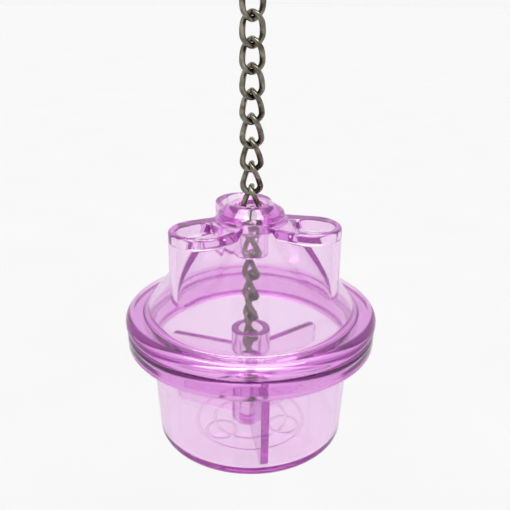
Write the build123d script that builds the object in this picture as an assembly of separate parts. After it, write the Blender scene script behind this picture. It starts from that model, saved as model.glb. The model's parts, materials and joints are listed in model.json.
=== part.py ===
from build123d import *
import os
from math import atan2, cos, degrees, hypot, radians, sin

# Hanging foraging treat dispenser: a clear cup with a lift-off cover, threaded on a curb chain
# that ends on a cross pin inside the cup and hangs from a quick link.
# Millimetres, +Z up. Heights named below are counted from the cup's underside; save() moves
# every piece down so that the origin is the bearing point inside the quick link's top bend.

# --- driving dimensions ---
FLANGE_R = 51.0            # cover's outer rim
CUP_FLANGE_R = 50.5
WALL = 2.6                 # moulded wall thickness
FLOOR = 3.2                # cup floor thickness

CUP_BASE_R = 38.7          # outer wall carried down to the underside, before its rounded corner
CUP_NECK_R = 41.0          # outer wall where it meets the cup's flange
CUP_NECK_Z = 41.2          # underside of the cup's flange
CUP_RIM_Z = 49.9           # top of the cup's flange
BASE_CORNER = 3.0
LIP_R = 40.2               # raised lip round the cup's mouth that centres the cover
LIP_H = 1.6

SEAT_GAP = 0.1             # between the two flanges
COVER_Z = CUP_RIM_Z + SEAT_GAP
COVER_RIM_T = 6.0          # cover's flange thickness
COVER_BORE_R = 40.5        # cover's open underside
CONE_BASE_R = 43.6         # cone's outer surface at the flange's top
SHOULDER_R = 15.4          # cone's outer surface at the shoulder
SHOULDER_Z = 92.4
CROWN_R = 13.4             # flat land that the bush sits on
CROWN_Z = 94.6
CROWN_T = 3.9

PORTS = 3
PORT_ANGLE = 98.0          # first pod's direction, degrees from +X
POD_RADIUS = 24.1          # axis to the centre of the pod's round end
POD_END_R = 12.0
POD_ROOT_R = 7.0           # pod's side walls close in to this radius at the axis
POD_TOP_Z = 93.65
POD_PLATE_T = 4.3
POD_WALL = 2.4
PORT_IN, PORT_OUT = 18.0, 33.4     # treat port's ends, from the axis
PORT_HALF_W = 6.0

BUSH_BORE_R = 5.0          # clears the chain
BUSH_TUBE_R = 6.8
BUSH_FOOT_Z = 78.0
BUSH_CAP_R = 13.0
BUSH_CAP_SHOULDER_R = 8.4
BUSH_CAP_T = 4.8
RUNNING_GAP = 0.08

HUB_R = 8.0
HUB_BORE_R = 5.0
HUB_TOP_Z = 45.2
VANE_T = 3.0
VANE_TOP_Z = 36.3
VANE_WALL_GAP = 0.6        # free edge of a vane to the cup's wall
VANE_FOOT = 1.6            # bevel that keeps a vane's foot off the cup's rounded inner corner
VANE_ANGLE = PORT_ANGLE - 59.3
PLUG_R = 4.9               # short plug on the cup's floor inside the divider's hub
PLUG_H = 3.6

PIN_R = 1.25
PIN_LENGTH = 14.8
PIN_ANGLE = VANE_ANGLE - 30.0

LINKS = 18
PITCH = 9.04               # inside length of a link
WIRE = 2.3
LINK_HALF_W = 3.65         # axis to the wire's centre at mid length
LINK_GAP = 0.12            # play between touching wires
LINK_TWIST = 90.0          # each link is twisted end to end, as in curb chain
CHAIN_TURN = -6.5          # turn from one link to the next one down
SECOND_LINK_ANGLE = 2.0    # direction of the second link's flat, degrees from +X
ANCHOR_Z = 23.5            # where the last link bears on the cross pin
END_BEND_R, SIDE_BEND_R = 3.05, 15.0

QUICK_WIRE = 3.5
QUICK_BEND_R = 7.0         # centre line of the quick link's end bends
QUICK_LEG = 25.5           # straight length of a leg
GATE_GAP = 5.5
NUT_LENGTH = 10.0
NUT_ACROSS = 6.4
NUT_GAP = 0.07

GROOVE_W, GROOVE_D = 1.0, 0.5
BASE_RINGS = (15.5, 23.0)  # shallow circles moulded in the underside
BASE_DISC_R, BASE_DISC_OFFSET = 6.2, 15.3

# --- worked out from the above ---
CHAIN_TOP_Z = ANCHOR_Z + LINKS * PITCH
QUICK_LOW_Z = CHAIN_TOP_Z - (QUICK_WIRE + LINK_GAP) / 2 + QUICK_BEND_R   # centre of the lower bend
QUICK_HIGH_Z = QUICK_LOW_Z + QUICK_LEG
GATE_Z = (QUICK_LOW_Z + QUICK_HIGH_Z) / 2
HANG_Z = QUICK_HIGH_Z + QUICK_BEND_R - QUICK_WIRE / 2
CONE_RISE = (SHOULDER_Z - COVER_Z - COVER_RIM_T) / (CONE_BASE_R - SHOULDER_R)
CUP_DRAFT = (CUP_NECK_R - CUP_BASE_R) / CUP_NECK_Z


def save(name, piece):
    """Write one piece with the origin moved to the hanging point."""
    piece = Pos(0, 0, -HANG_Z) * piece
    piece.label = name
    export_step(piece, f"parts/{name}.step")


def polar(radius, angle, z=0.0):
    return Vector(radius * cos(radians(angle)), radius * sin(radians(angle)), z)


def turned(outline):
    """Solid of revolution about Z; outline holds (radius, height, corner rounding)."""
    points = [(r, 0, z) for r, z, _ in outline]
    edge = FilletPolyline(points, radius=[c for _, _, c in outline], close=True)
    return revolve(make_face(edge.edges()), Axis.Z)


def cup_inner_r(z):
    return CUP_BASE_R - WALL + CUP_DRAFT * z


def cup():
    body = turned([
        (0, 0, 0),
        (CUP_BASE_R, 0, BASE_CORNER),
        (CUP_NECK_R, CUP_NECK_Z, 1.0),
        (CUP_FLANGE_R, CUP_NECK_Z, 2.4),
        (CUP_FLANGE_R, CUP_RIM_Z, 2.4),
        (LIP_R, CUP_RIM_Z, 0),
        (LIP_R, CUP_RIM_Z + LIP_H, 0.5),
        (cup_inner_r(CUP_RIM_Z + LIP_H), CUP_RIM_Z + LIP_H, 0.5),
        (cup_inner_r(FLOOR), FLOOR, 1.2),
        (PLUG_R, FLOOR, 0),
        (PLUG_R, FLOOR + PLUG_H, 0.6),
        (0, FLOOR + PLUG_H, 0),
    ])
    for radius in BASE_RINGS:
        body -= groove(radius)
    for port in range(PORTS):
        body -= Pos(*polar(BASE_DISC_OFFSET, port_angle(port))) * groove(BASE_DISC_R)
    return body


def groove(radius):
    """Ring cut from the underside, centred on the given radius."""
    outer = Circle(radius + GROOVE_W / 2)
    return extrude(outer - Circle(radius - GROOVE_W / 2), GROOVE_D)


def port_angle(port):
    return PORT_ANGLE + port * 360 / PORTS


def pod_outline(inset=0.0):
    """Plan of a pod: a round end whose tangent sides close in towards the axis."""
    end_r, root_r = POD_END_R - inset, POD_ROOT_R - inset
    lean = degrees(atan2(end_r - root_r, POD_RADIUS))
    end = Pos(POD_RADIUS, 0) * Circle(end_r)
    tangent = 90 + lean
    corners = [
        polar(root_r, tangent),
        Vector(POD_RADIUS, 0) + polar(end_r, tangent),
        Vector(POD_RADIUS, 0) + polar(end_r, -tangent),
        polar(root_r, -tangent),
    ]
    return make_face(Polyline(*corners, close=True)) + end + Circle(root_r)


def pod(angle):
    block = extrude(Pos(0, 0, COVER_Z) * pod_outline(), POD_TOP_Z - COVER_Z)
    block = fillet(block.edges().group_by(Axis.Z)[-1], 1.0)
    return Rot(0, 0, angle) * block


def pod_cavity(angle):
    """Space under the pod's top plate and the treat port through the plate."""
    depth = POD_TOP_Z - POD_PLATE_T - COVER_Z
    hollow = extrude(Pos(0, 0, COVER_Z) * pod_outline(POD_WALL), depth)
    length = PORT_OUT - PORT_IN
    slot = Pos(PORT_IN + length / 2, 0) * RectangleRounded(length, 2 * PORT_HALF_W, 5.0)
    port = extrude(Pos(0, 0, COVER_Z + depth - 1) * slot, POD_PLATE_T + 2)
    return Rot(0, 0, angle) * (hollow + port)


def cone_inner_r(z):
    """Radius of the cone's inner surface, WALL inside the outer one."""
    across = WALL * hypot(1, CONE_RISE) / CONE_RISE
    return CONE_BASE_R - across - (z - COVER_Z - COVER_RIM_T) / CONE_RISE


def cover():
    rim_z = COVER_Z + COVER_RIM_T
    body = turned([
        (0, COVER_Z, 0),
        (FLANGE_R, COVER_Z, 2.0),
        (FLANGE_R, rim_z, 3.6),
        (CONE_BASE_R, rim_z, 1.5),
        (SHOULDER_R, SHOULDER_Z, 1.2),
        (CROWN_R, CROWN_Z, 0.5),
        (0, CROWN_Z, 0),
    ])
    for port in range(PORTS):
        body += pod(port_angle(port))
    ceiling_z = CROWN_Z - CROWN_T
    spring_z = rim_z + (cone_inner_r(rim_z) - COVER_BORE_R) * CONE_RISE
    body -= turned([
        (0, COVER_Z - 1, 0),
        (COVER_BORE_R, COVER_Z - 1, 0),
        (COVER_BORE_R, spring_z, 3.0),
        (cone_inner_r(ceiling_z), ceiling_z, 1.0),
        (0, ceiling_z, 0),
    ])
    for port in range(PORTS):
        body -= pod_cavity(port_angle(port))
    return body - Pos(0, 0, CROWN_Z) * Cylinder(BUSH_TUBE_R + RUNNING_GAP, 4 * CROWN_T)


def guide_bush():
    """Flanged bush on the cover's crown; the chain runs through it."""
    seat_z = CROWN_Z + SEAT_GAP / 2
    top_z = seat_z + BUSH_CAP_T
    return turned([
        (BUSH_BORE_R, BUSH_FOOT_Z, 0.4),
        (BUSH_TUBE_R, BUSH_FOOT_Z, 0.4),
        (BUSH_TUBE_R, seat_z, 0),
        (BUSH_CAP_R, seat_z, 0.5),
        (BUSH_CAP_R, seat_z + 1.7, 1.4),
        (BUSH_CAP_SHOULDER_R, top_z, 1.8),
        (BUSH_BORE_R, top_z, 0.8),
    ])


def vane(angle):
    """Radial wall from the hub to just short of the cup's drafted side."""
    root = (HUB_R + HUB_BORE_R) / 2
    outline = Polyline(
        (root, 0, FLOOR),
        (cup_inner_r(FLOOR) - VANE_WALL_GAP - VANE_FOOT, 0, FLOOR),
        (cup_inner_r(FLOOR + VANE_FOOT) - VANE_WALL_GAP, 0, FLOOR + VANE_FOOT),
        (cup_inner_r(VANE_TOP_Z) - VANE_WALL_GAP, 0, VANE_TOP_Z),
        (root, 0, VANE_TOP_Z),
        close=True,
    )
    plate = extrude(make_face(outline), VANE_T / 2, dir=(0, 1, 0), both=True)
    plate = fillet(plate.edges().filter_by(Axis.Y).sort_by(Axis.X)[-1], 2.0)
    return Rot(0, 0, angle) * plate


def anchor_pin(radius=PIN_R, length=PIN_LENGTH):
    centre_z = ANCHOR_Z + PIN_R + LINK_GAP / 2
    return Pos(0, 0, centre_z) * Rot(0, 0, PIN_ANGLE) * Rot(0, 90, 0) * Cylinder(radius, length)


def divider():
    body = turned([
        (HUB_BORE_R, FLOOR, 0),
        (HUB_R, FLOOR, 0),
        (HUB_R, HUB_TOP_Z, 0.6),
        (HUB_BORE_R, HUB_TOP_Z, 0.6),
    ])
    for index in range(PORTS):
        body += vane(VANE_ANGLE + index * 360 / PORTS)
    return body - anchor_pin(PIN_R + 0.02, 3 * HUB_R)


def link_angle(index):
    """Direction of the flat of link 1, 2, 3 ... at mid length; link 1 is the top one."""
    return SECOND_LINK_ANGLE + (index - 2) * CHAIN_TURN


def link_centre_z(index):
    return CHAIN_TOP_Z - (index - 0.5) * PITCH


def chain_link():
    """One curb link about its own centre: an oval of round wire twisted about its length."""
    half_l = (PITCH + WIRE + LINK_GAP) / 2
    flat = LINK_HALF_W * 0.414             # where a 45 degree chamfer of the end bend begins
    stations = [
        (0, half_l),
        (flat, half_l),
        (LINK_HALF_W, half_l - LINK_HALF_W + flat),
        (LINK_HALF_W, 0),
        (LINK_HALF_W, -half_l + LINK_HALF_W - flat),
        (flat, -half_l),
        (0, -half_l),
    ]
    points = [polar(r, -LINK_TWIST / 2 * z / half_l, z) for r, z in stations]
    bends = [END_BEND_R, END_BEND_R, SIDE_BEND_R, END_BEND_R, END_BEND_R]
    path = Wire(FilletPolyline(*points, radius=bends).edges())
    side = sweep(Plane(origin=path @ 0, z_dir=path % 0) * Circle(WIRE / 2), path=path)
    return side + Rot(0, 0, 180) * side


def quick_link_angle():
    """The quick link's plane crosses the first link's top bend at a right angle."""
    return link_angle(1) - LINK_TWIST / 2 + 90


def quick_link_body():
    """Open link of round rod; its gap is bridged by the nut."""
    b, low, high = QUICK_BEND_R, QUICK_LOW_Z, QUICK_HIGH_Z
    path = Wire([
        Line((b, 0, GATE_Z - GATE_GAP / 2), (b, 0, low)),
        ThreePointArc((b, 0, low), (0, 0, low - b), (-b, 0, low)),
        Line((-b, 0, low), (-b, 0, high)),
        ThreePointArc((-b, 0, high), (0, 0, high + b), (b, 0, high)),
        Line((b, 0, high), (b, 0, GATE_Z + GATE_GAP / 2)),
    ])
    section = Plane(origin=path @ 0, z_dir=path % 0) * Circle(QUICK_WIRE / 2)
    return Rot(0, 0, quick_link_angle()) * sweep(section, path=path)


def quick_link_nut():
    """Hexagonal sleeve nut that closes the quick link."""
    hexagon = RegularPolygon(NUT_ACROSS / 2, 6, major_radius=False)
    sleeve = extrude(Pos(0, 0, -NUT_LENGTH / 2) * Rot(0, 0, 30) * hexagon, NUT_LENGTH)
    barrel = Cylinder(NUT_ACROSS * 0.56, NUT_LENGTH)
    barrel = chamfer(barrel.edges(), 0.6)
    sleeve = (sleeve & barrel) - Cylinder(QUICK_WIRE / 2 + NUT_GAP, 2 * NUT_LENGTH)
    return Rot(0, 0, quick_link_angle()) * Pos(QUICK_BEND_R, 0, GATE_Z) * sleeve


def main():
    os.makedirs("parts", exist_ok=True)
    save("cup", cup())
    save("divider", divider())
    save("anchor_pin", anchor_pin())
    save("cover", cover())
    save("guide_bush", guide_bush())
    link = chain_link()
    for index in range(1, LINKS + 1):
        place = Pos(0, 0, link_centre_z(index)) * Rot(0, 0, link_angle(index))
        save(f"chain_link_{index:02d}", place * link)
    save("quick_link_body", quick_link_body())
    save("quick_link_nut", quick_link_nut())


main()
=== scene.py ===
"""Hanging foraging treat dispenser: a clear violet cup and ported cover on a steel curb chain."""

import json
from math import cos, degrees, hypot, pi, radians, sin, tan

import bmesh
import bpy
from mathutils import Matrix, Vector


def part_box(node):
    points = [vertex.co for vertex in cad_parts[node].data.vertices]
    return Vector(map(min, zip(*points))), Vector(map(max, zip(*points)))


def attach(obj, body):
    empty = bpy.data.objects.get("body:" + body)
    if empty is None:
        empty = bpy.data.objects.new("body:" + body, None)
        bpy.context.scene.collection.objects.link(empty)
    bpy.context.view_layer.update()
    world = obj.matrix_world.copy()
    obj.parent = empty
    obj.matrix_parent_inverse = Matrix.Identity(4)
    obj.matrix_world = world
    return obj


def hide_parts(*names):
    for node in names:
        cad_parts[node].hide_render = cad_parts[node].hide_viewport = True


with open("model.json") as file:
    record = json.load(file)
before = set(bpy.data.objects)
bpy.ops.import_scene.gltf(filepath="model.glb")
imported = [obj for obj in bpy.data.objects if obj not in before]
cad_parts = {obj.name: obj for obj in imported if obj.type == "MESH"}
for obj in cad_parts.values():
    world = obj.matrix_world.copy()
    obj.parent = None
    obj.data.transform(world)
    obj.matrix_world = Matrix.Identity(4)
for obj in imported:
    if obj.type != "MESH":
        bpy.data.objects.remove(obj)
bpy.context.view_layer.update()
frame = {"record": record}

# --- sizes, in millimetres; heights count from the cup's underside ---
MM = 0.001
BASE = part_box("cup")[0].z

FLANGE_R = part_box("cover")[1].x / MM
CUP_FLANGE_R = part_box("cup")[1].x / MM
WALL = 2.6
FLOOR = 3.2

CUP_BASE_R = 38.7
CUP_NECK_R = 41.0
CUP_NECK_Z = 41.2
CUP_BASE_ROUND, CUP_FLANGE_ROUND = 3.0, 2.4
LIP_R, LIP_H = 40.2, 1.6
CUP_RIM_Z = (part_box("cup")[1].z - BASE) / MM - LIP_H
CUP_DRAFT = (CUP_NECK_R - CUP_BASE_R) / CUP_NECK_Z
PLUG_R, PLUG_H = 4.9, 3.6
GROOVE_W, GROOVE_D = 1.0, 0.5
BASE_RINGS = (15.5, 23.0)
BASE_DISC_R, BASE_DISC_OFFSET = 6.2, 15.3

COVER_Z = CUP_RIM_Z + 0.1
COVER_RIM_Z = COVER_Z + 6.0
COVER_BORE_R = 40.5
COVER_LOWER_ROUND, COVER_UPPER_ROUND = 2.0, 3.6
CONE_BASE_R = 43.6
SHOULDER_R, SHOULDER_Z = 15.4, 92.4
CROWN_R, CROWN_Z, CROWN_T = 13.4, 94.6, 3.9
CONE_RISE = (SHOULDER_Z - COVER_RIM_Z) / (CONE_BASE_R - SHOULDER_R)

PORTS = 3
PORT_ANGLE = 98.0
POD_RADIUS, POD_END_R, POD_ROOT_R = 24.1, 12.0, 7.0
POD_TOP_Z, POD_PLATE_T, POD_WALL = 93.65, 4.3, 2.4
PORT_IN, PORT_OUT, PORT_HALF_W = 18.0, 33.4, 6.0
PORT_LIP = 0.7
PORT_CORNER = 5.0
POD_RIM_ROUND, POD_CEILING_ROUND = 1.0, 0.8

BUSH_BORE_R, BUSH_TUBE_R, BUSH_FOOT_Z = 5.0, 6.8, 78.0
BUSH_CAP_R, BUSH_CAP_SHOULDER_R = 13.0, 8.4
BUSH_TOP_Z = (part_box("guide_bush")[1].z - BASE) / MM
BUSH_CAP_H = 4.8
BUSH_SEAT_Z = BUSH_TOP_Z - BUSH_CAP_H
RUNNING_GAP = 0.08

HUB_R, HUB_BORE_R = 8.0, 5.0
HUB_TOP_Z = (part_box("divider")[1].z - BASE) / MM
VANE_T, VANE_TOP_Z, VANE_WALL_GAP = 3.0, 36.3, 0.6
VANE_FOOT = 1.6            # bevel that keeps a vane's foot off the cup's rounded inner corner
VANE_EDGE = 0.35
VANE_ANGLE = PORT_ANGLE - 59.3
LAID_GAP = 0.03            # keeps the divider's foot and the cup's floor from sharing a face

PIN_R, PIN_LENGTH, PIN_ANGLE = 1.25, 14.8, VANE_ANGLE - 30.0
PIN_GAP, PIN_END_ROUND = 0.02, 0.25
PIN_Z = (sum(c.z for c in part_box("anchor_pin")) / 2 - BASE) / MM

LINKS = 18
WIRE_R = 1.15
LINK_HALF_W = 3.65
LINK_TWIST = 90.0
CHAIN_TURN = -6.5
SECOND_LINK_ANGLE = 2.0

QUICK_WIRE_R, QUICK_BEND_R, QUICK_LEG = 1.75, 7.0, 25.5
GATE_GAP = 5.5
QUICK_LOW_Z = (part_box("quick_link_body")[0].z - BASE) / MM + QUICK_WIRE_R + QUICK_BEND_R
GATE_Z = QUICK_LOW_Z + QUICK_LEG / 2
THREAD_PITCH, THREAD_DEPTH, THREAD_TURNS = 0.7, 0.22, 7
THREAD_RUNOUT = 0.35
NUT_LENGTH, NUT_ACROSS, NUT_GAP = 10.0, 6.4, 0.07

TO_FRAME = Matrix.Translation((0, 0, BASE)) @ Matrix.Scale(MM, 4)
ROUND_STEPS = 256          # facets in a full turn of a large moulded piece


# --- mesh helpers ---
def polar(radius, angle, z=0.0):
    return Vector((radius * cos(radians(angle)), radius * sin(radians(angle)), z))


def turn_matrix(angle):
    return Matrix.Rotation(radians(angle), 4, "Z")


def round_corner(bm, corner, before, after, radius):
    """Replaces one corner of an outline with an arc of that radius."""
    a, b = (before - corner.co).normalized(), (after - corner.co).normalized()
    inside = a.angle(b)
    steps = max(3, round(degrees(pi - inside) / 4))
    bmesh.ops.bevel(bm, geom=[corner], affect="VERTICES", offset=radius / tan(inside / 2),
                    offset_type="OFFSET", segments=steps, profile=0.5, material=-1)


def outline_loop(bm, corners):
    """Closed loop of edges in the XZ plane from corners (radius, height, rounding)."""
    points = [Vector((x, 0, z)) for x, z, _ in corners]
    verts = [bm.verts.new(p) for p in points]
    for a, b in zip(verts, verts[1:] + verts[:1]):
        bm.edges.new((a, b))
    for i, (_, _, radius) in enumerate(corners):
        if radius:
            round_corner(bm, verts[i], points[i - 1], points[(i + 1) % len(points)], radius)


def turned(corners, steps=ROUND_STEPS):
    """Closed solid of revolution about Z."""
    bm = bmesh.new()
    outline_loop(bm, corners)
    bmesh.ops.spin(bm, geom=bm.verts[:] + bm.edges[:], cent=(0, 0, 0), axis=(0, 0, 1),
                   angle=2 * pi, steps=steps, use_merge=True)
    bmesh.ops.remove_doubles(bm, verts=bm.verts[:], dist=1e-4)
    bmesh.ops.recalc_face_normals(bm, faces=bm.faces[:])
    return bm


def hull_prism(circles, low, high, steps=96):
    """Upright prism round some circles (x, radius)."""
    bm = bmesh.new()
    for x, radius in circles:
        for z in (low, high):
            bmesh.ops.create_circle(bm, segments=steps, radius=radius,
                                    matrix=Matrix.Translation((x, 0, z)))
    hull = bmesh.ops.convex_hull(bm, input=bm.verts[:], use_existing_faces=False)
    spare = {v for v in hull["geom_interior"] + hull["geom_unused"]
             if isinstance(v, bmesh.types.BMVert)}
    bmesh.ops.delete(bm, geom=list(spare), context="VERTS")
    bmesh.ops.delete(bm, geom=[e for e in bm.edges if not e.link_faces], context="EDGES")
    bmesh.ops.dissolve_limit(bm, angle_limit=radians(0.5), verts=bm.verts[:], edges=bm.edges[:])
    bmesh.ops.recalc_face_normals(bm, faces=bm.faces[:])
    return bm


def rim_edges(bm, z):
    return [e for e in bm.edges if all(abs(v.co.z - z) < 1e-3 for v in e.verts)]


def as_object(name, bm):
    mesh = bpy.data.meshes.new(name)
    bm.to_mesh(mesh)
    bm.free()
    thing = bpy.data.objects.new(name, mesh)
    bpy.context.scene.collection.objects.link(thing)
    return thing


def shaped(body, steps):
    """Applies (operation, tool) pairs to a solid, in order, and gives the result as a bmesh."""
    target = as_object("work", body)
    tools = []
    for operation, tool in steps:
        cutter = as_object("tool", tool)
        cutter.hide_render = True
        modifier = target.modifiers.new(operation, "BOOLEAN")
        modifier.operation = operation
        modifier.solver = "EXACT"
        modifier.object = cutter
        tools.append(cutter)
    depsgraph = bpy.context.evaluated_depsgraph_get()
    result = bpy.data.meshes.new_from_object(target.evaluated_get(depsgraph))
    for thing in [target] + tools:
        bpy.data.objects.remove(thing)
    bm = bmesh.new()
    bm.from_mesh(result)
    bpy.data.meshes.remove(result)
    bmesh.ops.remove_doubles(bm, verts=bm.verts[:], dist=2e-3)
    bmesh.ops.dissolve_degenerate(bm, edges=bm.edges[:], dist=1e-3)
    return bm


def finished(name, bm, node, body, material, crease=32, weighted=True):
    """Puts a piece modelled in millimetres into the frame, in place of its CAD node."""
    bmesh.ops.transform(bm, matrix=TO_FRAME, verts=bm.verts[:])
    for face in bm.faces:
        face.smooth = True
    piece = as_object(name, bm)
    piece.data.set_sharp_from_angle(angle=radians(crease))
    piece.data.materials.append(material)
    if weighted:
        normals = piece.modifiers.new("normals", "WEIGHTED_NORMAL")
        normals.keep_sharp = True
        normals.weight = 100
    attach(piece, body)
    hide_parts(node)
    return piece


# --- materials ---
SCUFF_SIZE = 1.2           # millimetres, as are the next two
TARNISH_SIZE = 3.5
PIT_DEPTH = 0.05


def colour(code):
    """Linear RGBA from an sRGB hex colour."""
    channels = [int(code[i:i + 2], 16) / 255 for i in (1, 3, 5)]
    return [c / 12.92 if c <= 0.04045 else ((c + 0.055) / 1.055) ** 2.4 for c in channels] + [1.0]


def add_node(material, kind, settings=None, **links):
    """Adds a node; settings fill its properties or sockets, links name (node, output) sources."""
    tree = material.node_tree
    node = tree.nodes.new(kind)
    for key, value in (settings or {}).items():
        if key in node.inputs:
            node.inputs[key].default_value = value
        else:
            setattr(node, key, value)
    for key, (source, output) in links.items():
        tree.links.new(source.outputs[output], node.inputs[key.replace("_", " ")])
    return node


def new_material(name):
    material = bpy.data.materials.new(name)
    material.use_nodes = True
    material.node_tree.nodes.clear()
    return material


def violet_polycarbonate():
    """Clear injection-moulded polycarbonate tinted violet in the mass: water-clear through one
    wall, deep magenta where light runs along it. Fine handling scuffs dull the gloss in places."""
    m = new_material("violet_polycarbonate")
    place = add_node(m, "ShaderNodeTexCoord")
    scuff = add_node(m, "ShaderNodeTexNoise", {
        "Scale": 1 / (SCUFF_SIZE * MM), "Detail": 4.0, "Roughness": 0.6,
    }, Vector=(place, "Object"))
    rough = add_node(m, "ShaderNodeMapRange", {
        "From Min": 0.4, "From Max": 0.75, "To Min": 0.04, "To Max": 0.11,
    }, Value=(scuff, "Fac"))
    surface = add_node(m, "ShaderNodeBsdfPrincipled", {
        "Base Color": colour("#FFFFFF"), "IOR": 1.58, "Transmission Weight": 1.0,
    }, Roughness=(rough, "Result"))
    tint = add_node(m, "ShaderNodeVolumeAbsorption", {"Color": colour("#E56CE5"), "Density": 78.0})
    add_node(m, "ShaderNodeOutputMaterial", None, Surface=(surface, "BSDF"),
             Volume=(tint, "Volume"))
    return m


def metal(name, code, roughness, grain_mm, tarnish):
    """Plated steel wire: draw marks in the roughness, and patches of duller plating."""
    m = new_material(name)
    place = add_node(m, "ShaderNodeTexCoord")
    grain = add_node(m, "ShaderNodeTexNoise", {
        "Scale": 1 / (grain_mm * MM), "Detail": 5.0, "Roughness": 0.65,
    }, Vector=(place, "Object"))
    patch = add_node(m, "ShaderNodeTexNoise", {"Scale": 1 / (TARNISH_SIZE * MM), "Detail": 3.0},
                     Vector=(place, "Object"))
    tone = add_node(m, "ShaderNodeValToRGB", None, Fac=(patch, "Fac"))
    tone.color_ramp.elements[0].position = 0.35
    tone.color_ramp.elements[0].color = colour(tarnish)
    tone.color_ramp.elements[1].position = 0.65
    tone.color_ramp.elements[1].color = colour(code)
    rough = add_node(m, "ShaderNodeMapRange", {
        "To Min": roughness * 0.6, "To Max": roughness * 1.5,
    }, Value=(grain, "Fac"))
    pits = add_node(m, "ShaderNodeBump", {"Strength": 0.25, "Distance": PIT_DEPTH * MM},
                    Height=(grain, "Fac"))
    surface = add_node(m, "ShaderNodeBsdfPrincipled", {"Metallic": 1.0},
                       Base_Color=(tone, "Color"), Roughness=(rough, "Result"),
                       Normal=(pits, "Normal"))
    add_node(m, "ShaderNodeOutputMaterial", None, Surface=(surface, "BSDF"))
    return m


def floor_paint():
    """Matt white studio board with a very faint mottle."""
    m = new_material("white_board")
    place = add_node(m, "ShaderNodeTexCoord")
    mottle = add_node(m, "ShaderNodeTexNoise", {"Scale": 6.0, "Detail": 2.0},
                      Vector=(place, "Object"))
    tone = add_node(m, "ShaderNodeValToRGB", None, Fac=(mottle, "Fac"))
    tone.color_ramp.elements[0].color = colour("#D2D2D2")
    tone.color_ramp.elements[1].color = colour("#D5D5D5")
    surface = add_node(m, "ShaderNodeBsdfPrincipled", {"Roughness": 0.9, "Specular IOR Level": 0.1},
                       Base_Color=(tone, "Color"))
    add_node(m, "ShaderNodeOutputMaterial", None, Surface=(surface, "BSDF"))
    return m


violet = violet_polycarbonate()
nickel = metal("nickel_plated_steel", "#8E897C", 0.20, 0.5, "#544D42")
zinc = metal("zinc_plated_steel", "#B9BBBC", 0.34, 0.6, "#9A9C9E")


# --- moulded pieces ---
def cup_inner_r(z):
    return CUP_BASE_R - WALL + CUP_DRAFT * z


def groove(centre, radius):
    """Ring tool for a shallow circle in the cup's underside."""
    half, deep = GROOVE_W / 2, GROOVE_D
    bm = turned([(radius - half, -1, 0), (radius + half, -1, 0),
                 (radius + half, deep, 0.2), (radius - half, deep, 0.2)], 64)
    bmesh.ops.translate(bm, vec=centre, verts=bm.verts[:])
    return bm


def make_cup():
    notches = []
    for radius in BASE_RINGS:
        inner, outer = radius - GROOVE_W / 2, radius + GROOVE_W / 2
        notches += [(inner, 0, 0), (inner, GROOVE_D, 0.2), (outer, GROOVE_D, 0.2), (outer, 0, 0)]
    body = turned([(0, 0, 0)] + notches + [
        (CUP_BASE_R, 0, CUP_BASE_ROUND),
        (CUP_NECK_R, CUP_NECK_Z, 1.0),
        (CUP_FLANGE_R, CUP_NECK_Z, CUP_FLANGE_ROUND),
        (CUP_FLANGE_R, CUP_RIM_Z, CUP_FLANGE_ROUND),
        (LIP_R, CUP_RIM_Z, 0),
        (LIP_R, CUP_RIM_Z + LIP_H, 0.5),
        (cup_inner_r(CUP_RIM_Z + LIP_H), CUP_RIM_Z + LIP_H, 0.5),
        (cup_inner_r(FLOOR), FLOOR, 1.2),
        (PLUG_R, FLOOR, 0),
        (PLUG_R, FLOOR + PLUG_H, 0.6),
        (0, FLOOR + PLUG_H, 0),
    ])
    centres = [polar(BASE_DISC_OFFSET, PORT_ANGLE + i * 360 / PORTS) for i in range(PORTS)]
    body = shaped(body, [("DIFFERENCE", groove(centre, BASE_DISC_R)) for centre in centres])
    return finished("cup_moulding", body, "cup", "cup", violet)


def make_divider():
    body = turned([
        (HUB_BORE_R, FLOOR + LAID_GAP, 0),
        (HUB_R, FLOOR + LAID_GAP, 0),
        (HUB_R, HUB_TOP_Z, 0.6),
        (HUB_BORE_R, HUB_TOP_Z, 0.6),
    ], 128)
    steps = [("UNION", vane(VANE_ANGLE + i * 360 / PORTS)) for i in range(PORTS)]
    steps.append(("DIFFERENCE", pin_rod(PIN_R + PIN_GAP, 3 * HUB_R)))
    return finished("divider_insert", shaped(body, steps), "divider", "cup", violet)


def vane(angle):
    """Radial wall from inside the hub's wall to just short of the cup's side."""
    bm = bmesh.new()
    root = (HUB_R + HUB_BORE_R) / 2
    outline_loop(bm, [
        (root, FLOOR + LAID_GAP, 0),
        (cup_inner_r(FLOOR) - VANE_WALL_GAP - VANE_FOOT, FLOOR + LAID_GAP, 0.4),
        (cup_inner_r(FLOOR + VANE_FOOT) - VANE_WALL_GAP, FLOOR + VANE_FOOT, 0.4),
        (cup_inner_r(VANE_TOP_Z) - VANE_WALL_GAP, VANE_TOP_Z, 2.0),
        (root, VANE_TOP_Z, 0),
    ])
    bmesh.ops.contextual_create(bm, geom=bm.edges[:])
    bmesh.ops.translate(bm, vec=(0, -VANE_T / 2, 0), verts=bm.verts[:])
    grown = bmesh.ops.extrude_face_region(bm, geom=bm.faces[:])
    verts = [g for g in grown["geom"] if isinstance(g, bmesh.types.BMVert)]
    bmesh.ops.translate(bm, vec=(0, VANE_T, 0), verts=verts)
    bmesh.ops.recalc_face_normals(bm, faces=bm.faces[:])
    rims = [e for e in bm.edges if abs(e.verts[0].co.y - e.verts[1].co.y) < 1e-4]
    bmesh.ops.bevel(bm, geom=rims, affect="EDGES", offset=VANE_EDGE, segments=3, profile=0.5,
                    material=-1)
    bmesh.ops.transform(bm, matrix=turn_matrix(angle), verts=bm.verts[:])
    return bm


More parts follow.
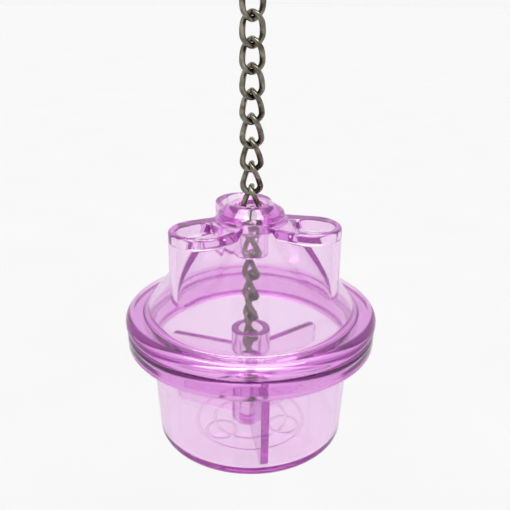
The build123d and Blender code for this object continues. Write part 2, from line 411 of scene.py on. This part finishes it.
def pod(angle):
    circles = [(0, POD_ROOT_R), (POD_RADIUS, POD_END_R)]
    bm = hull_prism(circles, COVER_Z + 1, POD_TOP_Z)
    bmesh.ops.bevel(bm, geom=rim_edges(bm, POD_TOP_Z), affect="EDGES", offset=POD_RIM_ROUND,
                    segments=6, profile=0.5, material=-1)
    bmesh.ops.transform(bm, matrix=turn_matrix(angle), verts=bm.verts[:])
    return bm


def pod_hollow(angle):
    """Space under a pod's top plate."""
    circles = [(0, POD_ROOT_R - POD_WALL), (POD_RADIUS, POD_END_R - POD_WALL)]
    bm = hull_prism(circles, COVER_Z, POD_TOP_Z - POD_PLATE_T)
    bmesh.ops.bevel(bm, geom=rim_edges(bm, POD_TOP_Z - POD_PLATE_T), affect="EDGES",
                    offset=POD_CEILING_ROUND, segments=4, profile=0.5, material=-1)
    bmesh.ops.transform(bm, matrix=turn_matrix(angle), verts=bm.verts[:])
    return bm


def port(angle):
    """Round-ended slot through a pod's plate, with a softened upper lip."""
    bm = bmesh.new()
    length, middle = PORT_OUT - PORT_IN, (PORT_OUT + PORT_IN) / 2
    size = Matrix.Diagonal((length, 2 * PORT_HALF_W, 1, 1))
    low = POD_TOP_Z - POD_PLATE_T - 1
    bmesh.ops.create_grid(bm, x_segments=1, y_segments=1, size=0.5,
                          matrix=Matrix.Translation((middle, 0, low)) @ size)
    bmesh.ops.bevel(bm, geom=bm.verts[:], affect="VERTICES", offset=PORT_CORNER, segments=16,
                    profile=0.5, material=-1)
    rise = POD_TOP_Z - PORT_LIP - low
    for lift, widen in ((rise, 0.0), (PORT_LIP * 0.5, 0.12), (PORT_LIP * 0.5, 0.55), (0.6, 0.6)):
        top = max(v.co.z for v in bm.verts)
        face = [f for f in bm.faces
                if abs(f.normal.z) > 0.9 and f.calc_center_median().z > top - 1e-4]
        grown = bmesh.ops.extrude_face_region(bm, geom=face)
        verts = [g for g in grown["geom"] if isinstance(g, bmesh.types.BMVert)]
        bmesh.ops.translate(bm, vec=(0, 0, lift), verts=verts)
        bmesh.ops.scale(bm, vec=(1 + 2 * widen / length, 1 + widen / PORT_HALF_W, 1),
                        space=Matrix.Translation((-middle, 0, 0)), verts=verts)
        bmesh.ops.delete(bm, geom=[f for f in face if f.is_valid and top > low + 1e-3],
                         context="FACES_ONLY")
        bm.normal_update()
    bmesh.ops.recalc_face_normals(bm, faces=bm.faces[:])
    bmesh.ops.transform(bm, matrix=turn_matrix(angle), verts=bm.verts[:])
    return bm


def cone_inner_r(z):
    across = WALL * hypot(1, CONE_RISE) / CONE_RISE
    return CONE_BASE_R - across - (z - COVER_RIM_Z) / CONE_RISE


def make_cover():
    body = turned([
        (0, COVER_Z, 0),
        (FLANGE_R, COVER_Z, COVER_LOWER_ROUND),
        (FLANGE_R, COVER_RIM_Z, COVER_UPPER_ROUND),
        (CONE_BASE_R, COVER_RIM_Z, 1.5),
        (SHOULDER_R, SHOULDER_Z, 1.2),
        (CROWN_R, CROWN_Z, 0.5),
        (0, CROWN_Z, 0),
    ])
    ceiling = CROWN_Z - CROWN_T
    spring = COVER_RIM_Z + (cone_inner_r(COVER_RIM_Z) - COVER_BORE_R) * CONE_RISE
    bore = BUSH_TUBE_R + RUNNING_GAP
    hollow = turned([
        (0, COVER_Z - 1, 0),
        (COVER_BORE_R, COVER_Z - 1, 0),
        (COVER_BORE_R, spring, 3.0),
        (cone_inner_r(ceiling), ceiling, 1.0),
        (bore, ceiling, 0),
        (bore, CROWN_Z + 1, 0),
        (0, CROWN_Z + 1, 0),
    ])
    angles = [PORT_ANGLE + i * 360 / PORTS for i in range(PORTS)]
    steps = [("UNION", pod(a)) for a in angles] + [("DIFFERENCE", hollow)]
    steps += [("DIFFERENCE", pod_hollow(a)) for a in angles]
    steps += [("DIFFERENCE", port(a)) for a in angles]
    return finished("cover_moulding", shaped(body, steps), "cover", "cover", violet)


def make_bush():
    body = turned([
        (BUSH_BORE_R, BUSH_FOOT_Z, 0.4),
        (BUSH_TUBE_R, BUSH_FOOT_Z, 0.4),
        (BUSH_TUBE_R, BUSH_SEAT_Z, 0),
        (BUSH_CAP_R, BUSH_SEAT_Z, 0.5),
        (BUSH_CAP_R, BUSH_SEAT_Z + 1.7, 1.4),
        (BUSH_CAP_SHOULDER_R, BUSH_TOP_Z, 1.8),
        (BUSH_BORE_R, BUSH_TOP_Z, 0.8),
    ], 160)
    return finished("bush_button", body, "guide_bush", "bush", violet)


# --- steel pieces ---
def pin_rod(radius, length):
    bm = bmesh.new()
    bmesh.ops.create_cone(bm, cap_ends=True, segments=48, radius1=radius, radius2=radius,
                          depth=length)
    ends = [e for e in bm.edges if abs(e.verts[0].co.z - e.verts[1].co.z) < 1e-4]
    bmesh.ops.bevel(bm, geom=ends, affect="EDGES", offset=PIN_END_ROUND, segments=3, profile=0.5,
                    material=-1)
    laid = turn_matrix(PIN_ANGLE) @ Matrix.Rotation(pi / 2, 4, "Y")
    place = Matrix.Translation((0, 0, PIN_Z)) @ laid
    bmesh.ops.transform(bm, matrix=place, verts=bm.verts[:])
    return bm


def wire_section(bm, radius, at, sides=20):
    """Ring of edges across an upright stretch of wire; the wire grows from it."""
    made = bmesh.ops.create_circle(bm, segments=sides, radius=radius, matrix=Matrix.Translation(at))
    return list({e for v in made["verts"] for e in v.link_edges})


def wire_straight(bm, edges, rise):
    grown = bmesh.ops.extrude_edge_only(bm, edges=edges)["geom"]
    verts = [g for g in grown if isinstance(g, bmesh.types.BMVert)]
    bmesh.ops.translate(bm, vec=(0, 0, rise), verts=verts)
    return [g for g in grown if isinstance(g, bmesh.types.BMEdge)]


def wire_bend(bm, edges, centre_z, steps, turn=-pi):
    verts = list({v for e in edges for v in e.verts})
    made = bmesh.ops.spin(bm, geom=verts + edges, cent=(0, 0, centre_z), axis=(0, 1, 0),
                          angle=turn, steps=steps)
    return [g for g in made["geom_last"] if isinstance(g, bmesh.types.BMEdge)]


def curb_link():
    """Oval of round wire, twisted a quarter turn end to end, with its butt joint on one side."""
    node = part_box("chain_link_01")
    half_l = (node[1].z - node[0].z) / MM / 2 - WIRE_R
    reach = half_l - LINK_HALF_W
    bm = bmesh.new()
    edges = wire_section(bm, WIRE_R, (LINK_HALF_W, 0, 0))
    for rise in (reach / 3,) * 3:
        edges = wire_straight(bm, edges, rise)
    edges = wire_bend(bm, edges, reach, 24)
    for rise in (-reach / 3,) * 6:
        edges = wire_straight(bm, edges, rise)
    edges = wire_bend(bm, edges, -reach, 24)
    for rise in (reach / 3,) * 3:
        edges = wire_straight(bm, edges, rise)
    bmesh.ops.remove_doubles(bm, verts=bm.verts[:], dist=1e-3)
    bmesh.ops.recalc_face_normals(bm, faces=bm.faces[:])
    for vert in bm.verts:
        twist = Matrix.Rotation(radians(-LINK_TWIST / 2 * vert.co.z / half_l), 3, "Z")
        vert.co = twist @ vert.co
    return bm


def make_chain():
    pattern = curb_link()
    bodies = frame["record"]["behaviour"]["bodies"]
    for index in range(1, LINKS + 1):
        node = f"chain_link_{index:02d}"
        low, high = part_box(node)
        middle = ((low.z + high.z) / 2 - BASE) / MM
        link = pattern.copy()
        angle = SECOND_LINK_ANGLE + (index - 2) * CHAIN_TURN
        place = Matrix.Translation((0, 0, middle)) @ turn_matrix(angle)
        bmesh.ops.transform(link, matrix=place, verts=link.verts[:])
        body = next(name for name, nodes in bodies.items() if node in nodes)
        finished(f"curb_link_{index:02d}", link, node, body, nickel, 60, False)
    pattern.free()


def quick_link_angle():
    return SECOND_LINK_ANGLE - CHAIN_TURN - LINK_TWIST / 2 + 90


def make_quick_link():
    """Bent rod with a threaded end on each side of its gap."""
    bm = bmesh.new()
    start = GATE_Z - GATE_GAP / 2
    edges = wire_section(bm, QUICK_WIRE_R - THREAD_DEPTH, (QUICK_BEND_R, 0, start), 32)
    bmesh.ops.contextual_create(bm, geom=edges)
    edges = threaded(bm, edges, -1)
    edges = wire_straight(bm, edges, QUICK_LOW_Z - min(v.co.z for e in edges for v in e.verts))
    edges = wire_bend(bm, edges, QUICK_LOW_Z, 32, pi)
    for rise in (QUICK_LEG / 4,) * 4:
        edges = wire_straight(bm, edges, rise)
    edges = wire_bend(bm, edges, QUICK_LOW_Z + QUICK_LEG, 32, pi)
    length = QUICK_LEG / 2 - GATE_GAP / 2
    edges = wire_straight(bm, edges, -(length - THREAD_TURNS * THREAD_PITCH - THREAD_RUNOUT))
    edges = threaded(bm, edges, -1, True)
    bmesh.ops.contextual_create(bm, geom=edges)
    bmesh.ops.remove_doubles(bm, verts=bm.verts[:], dist=1e-4)
    bmesh.ops.recalc_face_normals(bm, faces=bm.faces[:])
    bmesh.ops.transform(bm, matrix=turn_matrix(quick_link_angle()), verts=bm.verts[:])
    finished("quick_link_rod", bm, "quick_link_body", "quick_link", zinc, 40, False)


def threaded(bm, edges, way, towards_gate=False):
    """Turns of thread along a leg, as ridges one pitch apart."""
    crest, root = QUICK_WIRE_R, QUICK_WIRE_R - THREAD_DEPTH
    radii = [crest if towards_gate else root]
    for _ in range(THREAD_TURNS):
        radii += [root, crest] if towards_gate else [crest, root]
    if not towards_gate:
        radii.append(crest)
    for now, then in zip(radii, radii[1:]):
        edges = wire_straight(bm, edges, way * THREAD_PITCH / 2)
        verts = list({v for e in edges for v in e.verts})
        bmesh.ops.scale(bm, vec=(then / now, then / now, 1),
                        space=Matrix.Translation((-QUICK_BEND_R, 0, 0)), verts=verts)
    return edges


def make_nut():
    """Long hexagonal sleeve with turned-down corners."""
    bm = bmesh.new()
    corner_r = NUT_ACROSS / 2 / cos(pi / 6)
    bmesh.ops.create_cone(bm, cap_ends=True, segments=6, radius1=corner_r, radius2=corner_r,
                          depth=NUT_LENGTH, matrix=turn_matrix(30))
    barrel = turned([(0, -NUT_LENGTH / 2, 0), (NUT_ACROSS * 0.56, -NUT_LENGTH / 2, 0.5),
                     (NUT_ACROSS * 0.56, NUT_LENGTH / 2, 0.5), (0, NUT_LENGTH / 2, 0)], 96)
    bore_r = QUICK_WIRE_R + NUT_GAP
    bore = turned([(0, -NUT_LENGTH, 0), (bore_r, -NUT_LENGTH, 0), (bore_r, NUT_LENGTH, 0),
                   (0, NUT_LENGTH, 0)], 64)
    bm = shaped(bm, [("INTERSECT", barrel), ("DIFFERENCE", bore)])
    place = turn_matrix(quick_link_angle()) @ Matrix.Translation((QUICK_BEND_R, 0, GATE_Z))
    bmesh.ops.transform(bm, matrix=place, verts=bm.verts[:])
    finished("quick_link_sleeve", bm, "quick_link_nut", "quick_link_nut", zinc)


make_cup()
make_divider()
make_cover()
make_bush()
finished("cross_pin", pin_rod(PIN_R, PIN_LENGTH), "anchor_pin", "cup", nickel)
make_chain()
make_quick_link()
make_nut()


# --- studio, in metres and radians ---
FLOOR_RADIUS, FLOOR_DROP = 25.0, 0.3
EYE_DISTANCE, EYE_HEIGHT = 0.2507, 0.1762
LOOK_DOWN, ROLL = 0.3744, 0.006
LENS, LENS_SHIFT = 47.5, 0.0075
LIGHT_BOUNCES = 128        # rays stay long inside the two flange rings


def soft_light(name, place, towards, size, power):
    """Oval soft box that the plastic and steel mirror, without a pool of light on the floor."""
    lamp = bpy.data.lights.new(name, "AREA")
    lamp.shape = "ELLIPSE"
    lamp.size, lamp.size_y = size
    lamp.energy = power
    holder = bpy.data.objects.new(name, lamp)
    holder.visible_diffuse = False
    holder.location = place
    holder.rotation_euler = (Vector(towards) - Vector(place)).to_track_quat("-Z", "Y").to_euler()
    bpy.context.scene.collection.objects.link(holder)


def make_world():
    """Light tent: white ceiling with a brighter panel overhead, white back wall, and a dimmer
    front."""
    world = bpy.data.worlds.new("light_tent")
    world.use_nodes = True
    world.node_tree.nodes.clear()
    way = add_node(world, "ShaderNodeTexCoord")
    parts = add_node(world, "ShaderNodeSeparateXYZ", None, Vector=(way, "Generated"))
    wall = add_node(world, "ShaderNodeMapRange", {
        "interpolation_type": "SMOOTHSTEP", "From Min": -0.75, "From Max": 0.1,
        "To Min": 0.72, "To Max": 0.93,
    }, Value=(parts, "Y"))
    high = add_node(world, "ShaderNodeMapRange", {
        "interpolation_type": "SMOOTHSTEP", "From Min": 0.3, "From Max": 0.7,
    }, Value=(parts, "Z"))
    upper = add_node(world, "ShaderNodeMix", {"B": 1.12}, Factor=(high, "Result"),
                     A=(wall, "Result"))
    lid = add_node(world, "ShaderNodeMapRange", {
        "interpolation_type": "SMOOTHSTEP", "From Min": 0.80, "From Max": 0.87,
    }, Value=(parts, "Z"))
    power = add_node(world, "ShaderNodeMix", {"B": 2.4}, Factor=(lid, "Result"),
                     A=(upper, "Result"))
    light = add_node(world, "ShaderNodeBackground", {"Color": colour("#FFFFFF")},
                     Strength=(power, "Result"))
    add_node(world, "ShaderNodeOutputWorld", None, Surface=(light, "Background"))
    bpy.context.scene.world = world


def make_floor():
    bm = bmesh.new()
    bmesh.ops.create_circle(bm, cap_ends=True, segments=128, radius=FLOOR_RADIUS)
    bmesh.ops.translate(bm, vec=(0, 0, BASE - FLOOR_DROP), verts=bm.verts[:])
    board = as_object("floor", bm)
    board.data.materials.append(floor_paint())


def make_camera():
    """Looks 21 degrees down on the cover from about a quarter of a metre."""
    data = bpy.data.cameras.new("camera")
    data.sensor_width = 36.0
    data.lens = LENS
    data.shift_x = LENS_SHIFT
    data.clip_start = 0.01
    camera = bpy.data.objects.new("camera", data)
    eye = Matrix.Translation((0, -EYE_DISTANCE, BASE + EYE_HEIGHT))
    tilt = Matrix.Rotation(pi / 2 - LOOK_DOWN, 4, "X")
    camera.matrix_world = eye @ tilt @ Matrix.Rotation(ROLL, 4, "Z")
    bpy.context.scene.collection.objects.link(camera)
    bpy.context.scene.camera = camera


middle = Vector((0, 0, BASE + COVER_Z * MM))
soft_light("top_light", middle + Vector((0.03, 0.05, 0.95)), middle, (1.1, 0.5), 9.0)
make_world()
make_floor()
make_camera()

scene = bpy.context.scene
scene.view_settings.view_transform = "Standard"
scene.cycles.max_bounces = LIGHT_BOUNCES
scene.cycles.transmission_bounces = LIGHT_BOUNCES
scene.cycles.glossy_bounces = LIGHT_BOUNCES
scene.cycles.transparent_max_bounces = 64
